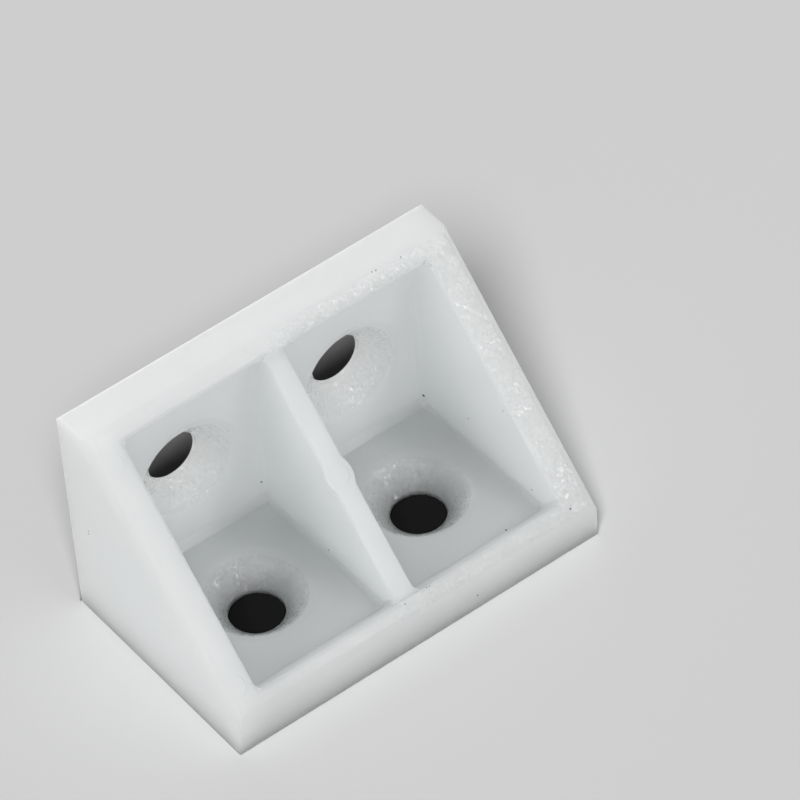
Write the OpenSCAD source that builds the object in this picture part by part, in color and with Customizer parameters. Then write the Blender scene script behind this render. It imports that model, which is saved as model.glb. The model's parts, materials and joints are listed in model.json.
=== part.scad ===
// Plastic corner brace: two plates at a right angle, closed by end walls and a middle web,
// with two countersunk screw holes in each plate.

/* [Overall] */
// Length along the corner
length = 42; // [36:0.5:60]
// Depth of the base plate, and height of the upright plate
leg = 25; // [22:0.5:40]

/* [Walls] */
// Thickness of the two plates
plate = 3; // [2:0.1:4]
// Height of the straight outer edge of each plate
lip = 4.4; // [4:0.1:6]
// Width of the sloping border between a plate's outer edge and the pockets
rim_border = 1.7; // [1.4:0.1:3]
// Thickness of the end walls, at the rim
end_wall = 3.5; // [2.6:0.1:4.5]
// Thickness of the middle web, along its top
web = 2.3; // [1.6:0.1:3.5]
// How far the web's top lies below the rim
web_setback = 1.2; // [0.6:0.1:2.5]
// How much each pocket side leans in, from the rim to the inner corner
draft = 0.25; // [0.05:0.05:0.5]
// Leg of the bevel along the pockets' inner corner
inner_bevel = 0.7; // [0.3:0.1:1.2]
// Radius of the fillets along the pockets' sides
pocket_fillet = 0.6; // [0.2:0.1:1]

/* [Screw holes] */
// Diameter of the screw holes
hole_d = 5.5; // [4:0.1:6.5]
// Distance between the two holes of a plate
hole_spacing = 19; // [18:0.5:22]
// Distance from the holes to the outer face of the other plate
hole_offset = 12.2; // [11:0.1:13.5]
// Straight part of a hole, below its countersink
hole_land = 0.6; // [0.3:0.1:1]
// Full angle of the countersinks
countersink_angle = 90; // [80:1:95]
// Radius of the countersinks' mouths
mouth_round = 2.4; // [0.3:0.1:3]

/* [Edges] */
// Radius of the outer edge where the two plates meet
corner_round = 1.2; // [0.6:0.1:2]
// Radius of the edges around the two mounting faces and at the ends of the plates' outer edges
edge_round = 0.4; // [0.2:0.1:0.8]
// Radius of the blunt edges between a plate's outer edge and the rim
crease_round = 1.4; // [0.3:0.1:2.4]
// Radius of the edges between the end faces and the rim
end_round = 1.2; // [0.4:0.1:1.6]
// Radius of the pockets' edges at the rim
rim_round = 0.5; // [0.1:0.05:0.75]
// Radius of the web's top edges
web_round = 0.3; // [0.1:0.05:0.7]

/* [Moulding marks] */
// Diameter of the round ejector marks on the rim
mark_d = 2; // [1.4:0.1:2.4]
// Depth of the ejector marks
mark_depth = 0.1; // [0.05:0.05:0.2]
// Distance of the ejector marks from the blunt edges of the rim, along the slope
mark_inset = 3; // [2:0.1:5]
// Length, along the web, of the bulge on each of its sides under the ejector mark
bulge_l = 2.4; // [1.6:0.1:4]
// How far the bulges stand out from the web's sides, at the top
bulge_out = 0.25; // [0.1:0.05:0.4]
// Height of the bulges, over which they taper into the web's sides
bulge_h = 3; // [1:0.1:4]
// Diameter of the dimple on the left end face, where the plastic flowed in
gate_d = 1.8; // [1:0.1:3]
// Depth of that dimple
gate_depth = 0.12; // [0.05:0.01:0.3]
// Distance of the dimple from the upright's outer face
gate_out = 3.4; // [2:0.1:6]
// Height of the dimple above the base
gate_up = 12.3; // [6:0.1:16]

/* [Hidden] */
$fn = 64;
// Cuts run this far past the faces that they open
over = 1;
// Rounds and fillets inside the brace run this far past the faces that they meet
bite = 0.01;
// Distance from the outer corner to the rim plane, and the width of the rim along the slope
rim_height = (leg + lip) / sqrt(2);
rim_width = (leg - lip) * sqrt(2);
// Place of the pocket's lower rim edge: distance from the upright's outer face, and height
rim_out = leg - rim_border / sqrt(2);
rim_up = lip + rim_border / sqrt(2);
// Where the border's inner face, square to the rim, reaches the plate's inner face
border_foot = rim_out - (rim_up - plate);
// Depth of the pockets below the rim, at the corner between the plates
pocket_depth = rim_height - plate * sqrt(2);
// How much a pocket's side leans in over each millimetre of its depth
lean = draft / pocket_depth;
hole_r = hole_d / 2;
// How much a countersink widens over each millimetre of its depth
flare = tan(countersink_angle / 2);

// Sharp tip outside a circle of radius r that touches both sides of a corner, or runs a little past them
module corner_tip(before, at, after, r, past = 0) {
    to_before = (before - at) / norm(before - at);
    to_after = (after - at) / norm(after - at);
    half_angle = acos(to_before * to_after) / 2;
    inward = (to_before + to_after) / norm(to_before + to_after);
    touch = r / tan(half_angle);
    centre = at + inward * r / sin(half_angle);
    difference() {
        polygon([at - inward * r, at + to_before * touch, centre, at + to_after * touch]);
        translate(centre) circle(r + past);
    }
}

// Outline with a radius at each corner, 0 for a sharp one
module rounded_outline(points, radii) {
    count = len(points);
    difference() {
        polygon(points);
        for (i = [0 : count - 1]) {
            before = points[(i + count - 1) % count];
            after = points[(i + 1) % count];
            if (radii[i] > 0) corner_tip(before, points[i], after, radii[i]);
        }
    }
}

// Carries a section (out from the upright, up from the base) along the length
module along_length(distance) {
    rotate([90, 0, -90]) linear_extrude(distance, center = true) children();
}

// Carries an outline (along the length, out through the rim) down the slope
module along_slope(distance) {
    rotate([135, 0, 0]) linear_extrude(distance, center = true) children();
}

// The same thing on the base plate and on the upright plate
module on_both_plates() {
    children();
    mirror([0, 1, 1]) children();
}

// Outline of the brace, seen from its end
module end_view() {
    rounded_outline(
        [[0, 0], [leg, 0], [leg, lip], [lip, leg], [0, leg]],
        [corner_round, edge_round, crease_round, crease_round, edge_round]
    );
}

// Outline of the brace, seen down the slope: its rim edges are rounded
module slope_view() {
    rounded_outline(
        [[-length / 2, -leg], [length / 2, -leg], [length / 2, rim_height], [-length / 2, rim_height]],
        [0, 0, end_round, end_round]
    );
}

// Outline of the base plate, seen from above
module plate_view() {
    rounded_outline(
        [[-length / 2, -leg], [length / 2, -leg], [length / 2, 0], [-length / 2, 0]],
        [edge_round, edge_round, edge_round, edge_round]
    );
}

// The brace without its pockets and holes
module block() {
    intersection() {
        along_length(length) end_view();
        along_slope(3 * leg) slope_view();
        translate([0, 0, -over]) linear_extrude(leg + 2 * over) plate_view();
        mirror([0, 1, 1]) translate([0, 0, -over]) linear_extrude(leg + 2 * over) plate_view();
    }
}

// Section of the pockets: along both plates, then square out through the rim, over its rounded edges
module pocket_section() {
    polygon([
        [plate + inner_bevel, plate], [border_foot, plate], [rim_out + over, rim_up + over],
        [rim_up + over, rim_out + over], [plate, border_foot], [plate, plate + inner_bevel]
    ]);
    for (edge = [[rim_out, rim_up, 1], [rim_up, rim_out, -1]]) {
        at = [edge[0], edge[1]];
        corner_tip(at + [edge[2], -edge[2]], at, at - [1, 1], rim_round, bite);
    }
}

// Outline of the pocket between the web and the right end wall, seen down the slope
module pocket_outline() {
    bottom = rim_height - pocket_depth;
    top = rim_height + over;
    wall_edge = [length / 2 - end_wall, rim_height];
    web_edge = [web / 2, rim_height - web_setback];
    polygon([
        [web_edge[0] + (web_edge[1] - bottom) * lean, bottom],
        [wall_edge[0] - pocket_depth * lean, bottom],
        [wall_edge[0] + over * lean, top],
        [web_edge[0] - (top - web_edge[1]) * lean, top]
    ]);
    corner_tip(wall_edge + [1, 0], wall_edge, wall_edge - [lean, 1], rim_round, bite);
    corner_tip(web_edge - [1, 0], web_edge, web_edge - [-lean, 1], web_round, bite);
}

// Fillets along the right side of a pocket, which meets the rim plane at a place along the length
module side_fillets(at_rim) {
    // Place of the side along the length, at a distance from the outer corner towards the rim
    function side_at(level) = at_rim - (rim_height - level) * lean;
    corner_level = plate * sqrt(2);
    bevel_level = corner_level + inner_bevel / sqrt(2);
    foot_level = (border_foot + plate) / sqrt(2);
    foot_down = (border_foot - plate) / sqrt(2);
    turn = atan(lean / sqrt(2));
    on_both_plates() {
        translate([side_at(corner_level), -plate, plate]) rotate([90, 0, turn])
            linear_extrude(border_foot - plate + over)
                corner_tip([-1, 0], [0, 0], [sin(turn), 1], pocket_fillet, bite);
        rotate([135, 0, 0]) translate([side_at(foot_level), foot_level, foot_down])
            rotate([0, 0, -atan(lean)]) rotate([-90, 0, 0]) translate([0, 0, -over])
                linear_extrude(rim_height - foot_level + 3 * over)
                    corner_tip([-1, 0], [0, 0], [0, 1], pocket_fillet, bite);
    }
    along_slope(inner_bevel * sqrt(2) + over) translate([side_at(bevel_level), bevel_level])
        corner_tip([-1, 0], [0, 0], [lean, 1], pocket_fillet, bite);
}

// Pocket between the web and the right end wall
module pocket() {
    difference() {
        intersection() {
            along_length(length) pocket_section();
            along_slope(3 * leg) pocket_outline();
        }
        side_fillets(length / 2 - end_wall);
        mirror([1, 0, 0]) side_fillets(web_setback * lean - web / 2);
    }
}

// Room above the web, which joins the two pockets at the rim
module web_gap() {
    drop = web_setback / sqrt(2);
    along_length(web + 2 * over) polygon([
        [rim_out - drop, rim_up - drop], [rim_out + over, rim_up + over],
        [rim_up + over, rim_out + over], [rim_up - drop, rim_out - drop]
    ]);
}

// Countersunk screw hole in the base plate, with a rounded mouth
module screw_hole() {
    mouth = [hole_r + (plate - hole_land) * flare, plate];
    rotate_extrude() {
        polygon([
            [0, -over], [hole_r, -over], [hole_r, hole_land],
            mouth + [over * flare, over], [0, plate + over]
        ]);
        corner_tip(mouth + [1, 0], mouth, mouth - [flare, 1], mouth_round, bite);
    }
}

// Round bar square to the rim, at a place along the length and down the slope, from its foot below the rim
// outwards
module rim_bar(along, down, below, d, h, foot_d) {
    rotate([135, 0, 0]) translate([along, rim_height - below, down - rim_width / 2])
        rotate([-90, 0, 0]) cylinder(h = h, d1 = foot_d, d2 = d);
}

// Shallow round marks where the ejectors pushed: near the rim's corners and in the middle of the web
module ejector_marks() {
    for (side = [-1, 1], down = [mark_inset, rim_width - mark_inset])
        rim_bar(side * (length - end_wall) / 2, down, mark_depth, mark_d, over, mark_d);
    rim_bar(0, rim_width / 2, web_setback + mark_depth, mark_d, over, mark_d);
}

// Two arcs back to back that swell the web's sides around its ejector mark, and taper in below
module web_bulges() {
    r = (pow(bulge_l / 2, 2) + pow(bulge_out, 2)) / (2 * bulge_out);
    intersection_for (side = [-1, 1])
        rim_bar(
            side * (web / 2 + bulge_out - r), rim_width / 2, web_setback + bulge_h,
            2 * r, bulge_h, 2 * (r - bulge_out)
        );
}

// Shallow round dimple in the left end face
module gate_dimple() {
    r = (pow(gate_d / 2, 2) + pow(gate_depth, 2)) / (2 * gate_depth);
    translate([gate_depth - length / 2 - r, -gate_out, gate_up]) sphere(r);
}

// The whole moulding, standing on its base plate with the upright at the back
module corner_brace() {
    color("whitesmoke") translate([0, leg / 2, 0])
        difference() {
            union() {
                difference() {
                    block();
                    pocket();
                    mirror([1, 0, 0]) pocket();
                    web_gap();
                }
                web_bulges();
            }
            on_both_plates()
                for (side = [-1, 1]) translate([side * hole_spacing / 2, -hole_offset, 0]) screw_hole();
            ejector_marks();
            gate_dimple();
        }
}

corner_brace();
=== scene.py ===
# %% [markdown]
# # A white plastic corner brace
# This lesson dresses one injection moulding: a corner brace of milky white polypropylene, as screwed
# into the corners of cabinets and shelves. The solid comes from the imported frame at its real size, with
# every plate, fillet and countersink already cut, so nothing here changes its shape.
# What is left to Blender is what the eye meets: light that sinks into the plastic, the satin that a
# polished mould leaves, the sparkling grain where the mould was spark-eroded, and small marks of use,
# some of them the painted shade of pits.

# %% Load the fixed frame
import json
import math

import bmesh
import bpy
from mathutils import Matrix, Vector


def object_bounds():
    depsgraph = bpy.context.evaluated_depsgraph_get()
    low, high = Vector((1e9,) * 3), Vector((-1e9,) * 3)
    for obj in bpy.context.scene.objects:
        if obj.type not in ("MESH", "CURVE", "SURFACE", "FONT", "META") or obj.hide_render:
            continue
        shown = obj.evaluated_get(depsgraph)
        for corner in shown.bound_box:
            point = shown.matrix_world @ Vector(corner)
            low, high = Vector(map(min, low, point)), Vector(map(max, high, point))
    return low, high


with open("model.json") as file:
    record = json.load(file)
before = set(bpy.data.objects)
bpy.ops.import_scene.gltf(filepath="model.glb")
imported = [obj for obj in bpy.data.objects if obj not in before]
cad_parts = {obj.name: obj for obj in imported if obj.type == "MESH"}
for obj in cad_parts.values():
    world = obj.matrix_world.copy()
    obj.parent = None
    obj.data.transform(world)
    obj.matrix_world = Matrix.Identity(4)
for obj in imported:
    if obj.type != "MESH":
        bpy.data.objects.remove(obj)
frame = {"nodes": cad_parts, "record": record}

MM = 0.001
cad_box = [list(corner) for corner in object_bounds()]
brace = frame["nodes"]["corner_brace"]
print("brace:", len(brace.data.polygons), "faces, box in metres", cad_box)

# %% [markdown]
# ## The camera
# The part was photographed through a long lens from the left and well above, with the camera a little
# rolled. A camera is easiest to place as a photographer would: choose the point to look at, walk round
# to an angle, climb to a height, step back, then tilt the camera about its own axis.

# %% Camera at the photograph's viewing angle
LOOK_AT = Vector((10.675, 3.513, 12.576)) * MM
AZIMUTH, ELEVATION, ROLL = -34.04, 46.44, -4.94
DISTANCE = 620.4 * MM
LENS, SENSOR = 300.65, 36.0


def direction(azimuth, elevation):
    """Unit vector towards an azimuth (0 is the front, 90 the right) and an elevation, in degrees."""
    turn, climb = math.radians(azimuth), math.radians(elevation)
    return Vector((
        math.sin(turn) * math.cos(climb),
        -math.cos(turn) * math.cos(climb),
        math.sin(climb),
    ))


def facing(place, target):
    """Matrix that sits at a place with its own -Z axis towards a target, as cameras and lights look."""
    return Matrix.Translation(place) @ (place - target).to_track_quat("Z", "Y").to_matrix().to_4x4()


camera_data = bpy.data.cameras.new("camera")
camera_data.lens = LENS
camera_data.sensor_width = SENSOR
camera_data.clip_start, camera_data.clip_end = 0.01, 10.0
camera = bpy.data.objects.new("camera", camera_data)
stand = LOOK_AT + direction(AZIMUTH, ELEVATION) * DISTANCE
camera.matrix_world = facing(stand, LOOK_AT) @ Matrix.Rotation(math.radians(ROLL), 4, "Z")
bpy.context.collection.objects.link(camera)
bpy.context.scene.camera = camera
print("camera at", [round(value / MM, 1) for value in stand], "mm")

# %% [markdown]
# ## Colours and nodes
# Colours are picked as sRGB hex values, the way a screen shows them, but shaders add up light, which
# needs linear values. One function makes that change, and one more adds a node with its settings and
# links, so that a material reads as a list of steps.

# %% Helpers for colours and shader nodes
def linear(hex_colour):
    """Turns an sRGB hex colour into linear RGBA."""
    parts = [int(hex_colour[i:i + 2], 16) / 255 for i in (1, 3, 5)]
    return [p / 12.92 if p <= 0.04045 else ((p + 0.055) / 1.055) ** 2.4 for p in parts] + [1.0]


def add(tree, kind, settings=None, inputs=None):
    """Adds a node: settings are its properties, inputs are values or sockets by input name or number."""
    node = tree.nodes.new(kind)
    for name, value in (settings or {}).items():
        setattr(node, name, value)
    for name, value in (inputs or {}).items():
        if isinstance(value, bpy.types.NodeSocket):
            tree.links.new(value, node.inputs[name])
        else:
            node.inputs[name].default_value = value
    return node


# %% [markdown]
# ## Where each finish lies
# One material covers the whole moulding, so it has to know where it is. Object coordinates give each
# point its place in metres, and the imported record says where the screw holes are. From those two,
# a few measuring nodes make masks: white in the countersinks, white on the rim, black elsewhere.

# %% Measure the part inside the material
material = bpy.data.materials.new("white_moulded_polypropylene")
material.use_nodes = True
tree = material.node_tree
tree.nodes.clear()

coordinates = add(tree, "ShaderNodeTexCoord").outputs["Object"]
place = add(tree, "ShaderNodeSeparateXYZ", None, {"Vector": coordinates})
mounts = {mount["name"]: mount for mount in frame["record"]["mounts"]}
holes = mounts["base_holes"]["dims"]
hole_x = holes["spacing_x_mm"] / 2 * MM
base_hole = Vector((hole_x, mounts["base_holes"]["pos_m"][1], 0.0))
upright_hole = Vector((hole_x, 0.0, mounts["upright_holes"]["pos_m"][2]))
PLATE, LAND = 3.0 * MM, 0.6 * MM
back = cad_box[1][1]
print("hole places in mm:", list(base_hole / MM), list(upright_hole / MM))

# %% [markdown]
# The part is the same on its left and right, so folding x over to its positive side lets one measure
# serve both holes of a plate. The distance from a hole's axis then tells the countersink apart.

# %% Mask of the four countersinks
folded_x = add(tree, "ShaderNodeMath", {"operation": "ABSOLUTE"}, {0: place.outputs["X"]})
folded = add(tree, "ShaderNodeCombineXYZ", None, {
    "X": folded_x.outputs[0], "Y": place.outputs["Y"], "Z": place.outputs["Z"],
})
# The cone leans at 45 degrees, so from the straight land to the mouth it widens as much as it rises
mouth_r = holes["hole_r_mm"] * MM + PLATE - LAND
# Each plate has its hole, the directions across it, its depth, its outer face and the way in from there
plates = [
    (base_hole, (1, 1, 0), place.outputs["Z"], 0.0, 1),
    (upright_hole, (1, 0, 1), place.outputs["Y"], back, -1),
]
dishes = []
for centre, across, depth, outer, inward in plates:
    offset = add(tree, "ShaderNodeVectorMath", {"operation": "SUBTRACT"}, {0: folded.outputs[0], 1: centre})
    flat = add(tree, "ShaderNodeVectorMath", {"operation": "MULTIPLY"}, {0: offset.outputs[0], 1: across})
    radius = add(tree, "ShaderNodeVectorMath", {"operation": "LENGTH"}, {0: flat.outputs[0]})
    near = add(tree, "ShaderNodeMapRange", {"interpolation_type": "SMOOTHSTEP"}, {
        "Value": radius.outputs["Value"], "From Min": mouth_r + 0.5 * MM, "From Max": mouth_r - 0.4 * MM,
    })
    sunk = add(tree, "ShaderNodeMapRange", None, {
        "Value": depth,
        "From Min": outer + inward * (PLATE + 0.05 * MM), "From Max": outer + inward * (PLATE - 0.10 * MM),
    })
    off_outer_face = add(tree, "ShaderNodeMapRange", None, {
        "Value": depth,
        "From Min": outer + inward * 0.1 * MM, "From Max": outer + inward * 0.3 * MM,
    })
    within = add(tree, "ShaderNodeMath", {"operation": "MULTIPLY"}, {
        0: sunk.outputs[0], 1: off_outer_face.outputs[0],
    })
    dishes.append(add(tree, "ShaderNodeMath", {"operation": "MULTIPLY"}, {
        0: near.outputs[0], 1: within.outputs[0],
    }))
countersinks = add(tree, "ShaderNodeMath", {"operation": "MAXIMUM"}, {
    0: dishes[0].outputs[0], 1: dishes[1].outputs[0],
})
print("countersink mask reaches", round(mouth_r / MM, 2), "mm from each hole's axis")

# %% [markdown]
# The rim is one sloping plane at 45 degrees, so height less depth is the same all over it. The mould's
# rim was polished on the left and left grainy on the right, which is seen from about the middle web on.

# %% Mask of the grainy right part of the rim
slope = add(tree, "ShaderNodeMath", {"operation": "SUBTRACT"}, {
    0: place.outputs["Z"], 1: place.outputs["Y"],
})
RIM_LEVEL = 16.9 * MM
on_rim = add(tree, "ShaderNodeMapRange", None, {
    "Value": slope.outputs[0], "From Min": RIM_LEVEL - 0.25 * MM, "From Max": RIM_LEVEL - 0.12 * MM,
})
to_right = add(tree, "ShaderNodeMapRange", {"interpolation_type": "SMOOTHSTEP"}, {
    "Value": place.outputs["X"], "From Min": -6 * MM, "From Max": 4 * MM,
})
grainy_rim = add(tree, "ShaderNodeMath", {"operation": "MULTIPLY"}, {
    0: on_rim.outputs[0], 1: to_right.outputs[0],
})
eroded = add(tree, "ShaderNodeMath", {"operation": "MAXIMUM"}, {
    0: countersinks.outputs[0], 1: grainy_rim.outputs[0],
})

# %% [markdown]
# ## Specks and painted pit shade
# A used moulding isn't clean: burnt specks sit in the plastic, and the gate where the plastic flowed in
# left two dark points on the left end. The rim has small pits, which are not cut here: their shade is
# painted on as dark dots in the same colour. Each dot is a place and a radius in millimetres. The
# distance to the nearest one, less its radius, is negative inside a dot.

# %% Mask of the dark specks and of the painted shade in the rim's pits
# Burnt specks, gate marks, and the rim's pits, whose shade is painted as dark dots
SPECKS_AND_PIT_SHADE = [
    ((17.22, 9.16, 4.13), 0.14), ((-1.68, 9.44, 5.22), 0.09), ((-1.27, -0.27, 3.58), 0.09),
    ((1.86, -11.22, 5.36), 0.08), ((2.16, -11.28, 5.36), 0.07), ((6.60, -12.50, 1.94), 0.09),
    ((13.10, -8.61, 3.00), 0.09), ((18.22, -11.90, 4.99), 0.09), ((-0.87, -11.53, 5.37), 0.06),
    ((17.36, 2.26, 6.43), 0.07), ((17.44, -7.03, 4.14), 0.08), ((17.48, -3.26, 11.80), 0.06),
    ((12.44, 8.25, 24.93), 0.08), ((12.04, 8.30, 24.95), 0.06), ((15.25, 8.15, 24.89), 0.06),
    ((-20.90, 9.39, 12.26), 0.07), ((-20.92, 9.34, 11.91), 0.06),
]
nearest = None
for dot, radius in SPECKS_AND_PIT_SHADE:
    distance = add(tree, "ShaderNodeVectorMath", {"operation": "DISTANCE"}, {
        0: coordinates, 1: Vector(dot) * MM,
    })
    edge = add(tree, "ShaderNodeMath", {"operation": "SUBTRACT"}, {
        0: distance.outputs["Value"], 1: radius * MM,
    })
    if nearest is not None:
        edge = add(tree, "ShaderNodeMath", {"operation": "MINIMUM"}, {
            0: nearest.outputs[0], 1: edge.outputs[0],
        })
    nearest = edge
# Dark dots of colour: real specks and gate marks, and painted shade for the pits on the rim
specks_and_pit_shade = add(tree, "ShaderNodeMapRange", {"interpolation_type": "SMOOTHSTEP"}, {
    "Value": nearest.outputs[0], "From Min": 0.05 * MM, "From Max": -0.05 * MM,
})
print(len(SPECKS_AND_PIT_SHADE), "specks")

# %% [markdown]
# ## The plastic itself
# Polypropylene is milky: light enters, scatters for several millimetres and comes out elsewhere, which
# is why corners look soft and thin plates look lit from within. Subsurface scattering does that, with
# a long radius. The natural resin is a cool white, and mixing in the melt leaves it faintly cloudy.
# A polished mould gives a satin skin. Spark erosion leaves tiny facets, each tilted its own way, and the
# few that face a lamp flash. Each cell of a pattern gets a random tilt and a smoother face. Real facets
# are near 0.1 mm wide, too fine to show here, so they are drawn 0.19 mm wide.

# %% Colour: cool white, faintly cloudy, with dark specks and painted pit shade
cloud = add(tree, "ShaderNodeTexNoise", None, {
    "Vector": coordinates, "Scale": 1 / (9 * MM), "Detail": 3.0, "Roughness": 0.55,
})
white = add(tree, "ShaderNodeMix", {"data_type": "RGBA"}, {
    "Factor": cloud.outputs["Fac"], 6: linear("#EAF0F0"), 7: linear("#F2F5F6"),
})
# The dark colour paints the specks, the gate marks and the shade in the rim's pits
colour = add(tree, "ShaderNodeMix", {"data_type": "RGBA"}, {
    "Factor": specks_and_pit_shade.outputs[0], 6: white.outputs[2], 7: linear("#5C5A55"),
})

# %% Surface: satin skin, with facets where the mould was spark-eroded
FACET, FACET_TILT, FACET_ROUGHNESS = 0.19 * MM, 0.5, 0.23
ripple = add(tree, "ShaderNodeTexNoise", None, {
    "Vector": coordinates, "Scale": 1 / (1.6 * MM), "Detail": 2.0,
})
skin = add(tree, "ShaderNodeBump", None, {
    "Strength": 0.25, "Distance": 0.01 * MM, "Height": ripple.outputs["Fac"],
})
cells = add(tree, "ShaderNodeTexVoronoi", {"feature": "F1"}, {
    "Vector": coordinates, "Scale": 1 / FACET, "Randomness": 1.0,
})
tilt = add(tree, "ShaderNodeVectorMath", {"operation": "SUBTRACT"}, {
    0: cells.outputs["Color"], 1: (0.5, 0.5, 0.5),
})
amount = add(tree, "ShaderNodeMath", {"operation": "MULTIPLY"}, {0: eroded.outputs[0], 1: FACET_TILT})
tilted = add(tree, "ShaderNodeVectorMath", {"operation": "SCALE"}, {
    0: tilt.outputs[0], "Scale": amount.outputs[0],
})
facet = add(tree, "ShaderNodeVectorMath", {"operation": "ADD"}, {
    0: skin.outputs["Normal"], 1: tilted.outputs[0],
})
grain = add(tree, "ShaderNodeVectorMath", {"operation": "NORMALIZE"}, {0: facet.outputs[0]})
satin = add(tree, "ShaderNodeMapRange", None, {
    "Value": ripple.outputs["Fac"], "From Min": 0.3, "From Max": 0.7, "To Min": 0.38, "To Max": 0.46,
})
roughness = add(tree, "ShaderNodeMix", {"data_type": "FLOAT"}, {
    0: eroded.outputs[0], 2: satin.outputs[0], 3: FACET_ROUGHNESS,
})
shader = add(tree, "ShaderNodeBsdfPrincipled", None, {
    "Base Color": colour.outputs[2],
    "Roughness": roughness.outputs[0],
    "IOR": 1.49,
    "Subsurface Weight": 1.0,
    "Subsurface Radius": (1.0, 1.0, 1.0),
    "Subsurface Scale": 12 * MM,
    "Normal": grain.outputs[0],
})
add(tree, "ShaderNodeOutputMaterial", None, {"Surface": shader.outputs["BSDF"]})
brace.data.materials.clear()
brace.data.materials.append(material)
print("material:", material.name, "with", len(tree.nodes), "nodes")

# %% [markdown]
# ## The floor
# The floor is plain pale paper. The photographed part lay on something dark, which shows black through
# the holes and swallows the light that sinks through the base plate. A dark card, cut smaller than the
# base plate so that only the screw holes show it, does the same here. Behind the upright plate stands
# a dark flag, as photographers call a sheet that keeps light away. The camera doesn't see it, but the
# floor behind it lies in its shade and shows dark through the upper holes. All three are stage.

# %% Pale paper floor, a dark card under the base plate and a flag behind the upright
def sheet_of(name, low, high, level, hex_colour, upright=False):
    """Flat rectangle between two corners at a level, or turned up about the X axis."""
    work = bmesh.new()
    bmesh.ops.create_grid(work, x_segments=1, y_segments=1, size=0.5)
    bmesh.ops.scale(work, vec=(high[0] - low[0], high[1] - low[1], 1), verts=work.verts)
    middle = ((low[0] + high[0]) / 2, (low[1] + high[1]) / 2, level)
    bmesh.ops.translate(work, vec=middle, verts=work.verts)
    if upright:
        quarter_turn = Matrix.Rotation(math.radians(90), 3, "X")
        bmesh.ops.rotate(work, cent=(0, 0, 0), matrix=quarter_turn, verts=work.verts)
    mesh = bpy.data.meshes.new(name)
    work.to_mesh(mesh)
    work.free()
    paper = bpy.data.materials.new(name)
    paper.use_nodes = True
    paper.node_tree.nodes.clear()
    matt = add(paper.node_tree, "ShaderNodeBsdfDiffuse", None, {"Color": linear(hex_colour)})
    add(paper.node_tree, "ShaderNodeOutputMaterial", None, {"Surface": matt.outputs["BSDF"]})
    mesh.materials.append(paper)
    piece = bpy.data.objects.new(name, mesh)
    bpy.context.collection.objects.link(piece)
    return piece


PALE, DARK = "#B4B4B4", "#121212"
GAP = 0.05 * MM
floor = sheet_of("pale_paper", (-2, -2), (2, 2), -2 * GAP, PALE)
low, high = Vector(cad_box[0]), Vector(cad_box[1])
inset = Vector((0.8, 0.8, 0)) * MM
card = sheet_of("dark_card", low + inset, high - 2 * inset, -GAP, DARK)
flag_top = (high.x, high.z - 1 * MM)
flag = sheet_of("flag", (low.x, low.z), flag_top, -high.y - GAP, DARK, upright=True)
flag.visible_camera = flag.visible_glossy = flag.visible_transmission = False
print("stage:", floor.name, card.name, flag.name)

# %% [markdown]
# ## The light
# A small translucent part wants large soft lights all round it: one behind that glows through the
# upright, one at each side, one high up and two in front. The right-hand front one is smaller, so the
# grain sparkles. Light linking gives the part these six, and the floor one broad light of its own from
# the front, so the floor stays even and the shadow falls behind the part, where the upper holes look.

# %% Soft studio light
scene = bpy.context.scene
scene.view_settings.view_transform = "Standard"
world = bpy.data.worlds.new("dim_room")
scene.world = world
world.use_nodes = True
background = world.node_tree.nodes["Background"]
background.inputs["Color"].default_value = linear("#F4F7FA")
background.inputs["Strength"].default_value = 0.04

part_only = bpy.data.collections.new("lit_part")
part_only.objects.link(brace)
stage_only = bpy.data.collections.new("lit_stage")
stage_only.objects.link(floor)
stage_only.objects.link(card)

# Each softbox has its azimuth and elevation in degrees, its side in metres and its power in watts
LAMP_DISTANCE = 0.6
SOFTBOXES = {
    "back": (180, 30, 0.30, 2.25),
    "left": (-90, 33, 0.30, 1.20),
    "right": (90, 40, 0.30, 0.62),
    "top_right": (45, 62, 0.30, 0.43),
    "front_left": (-36, 37, 0.30, 0.92),
    "front_right": (29, 36, 0.11, 0.62),
}
for name, (azimuth, elevation, size, power) in SOFTBOXES.items():
    light_data = bpy.data.lights.new(name, "AREA")
    light_data.shape = "SQUARE"
    light_data.size = size
    light_data.energy = power
    light = bpy.data.objects.new(name, light_data)
    light.matrix_world = facing(direction(azimuth, elevation) * LAMP_DISTANCE, Vector())
    light.light_linking.receiver_collection = part_only
    light.light_linking.blocker_collection = part_only
    bpy.context.collection.objects.link(light)

sun_data = bpy.data.lights.new("floor_light", "SUN")
sun_data.energy = 5.3
sun_data.angle = math.radians(24)
sun = bpy.data.objects.new("floor_light", sun_data)
sun.matrix_world = facing(direction(-40, 51), Vector())
sun.light_linking.receiver_collection = stage_only
bpy.context.collection.objects.link(sun)
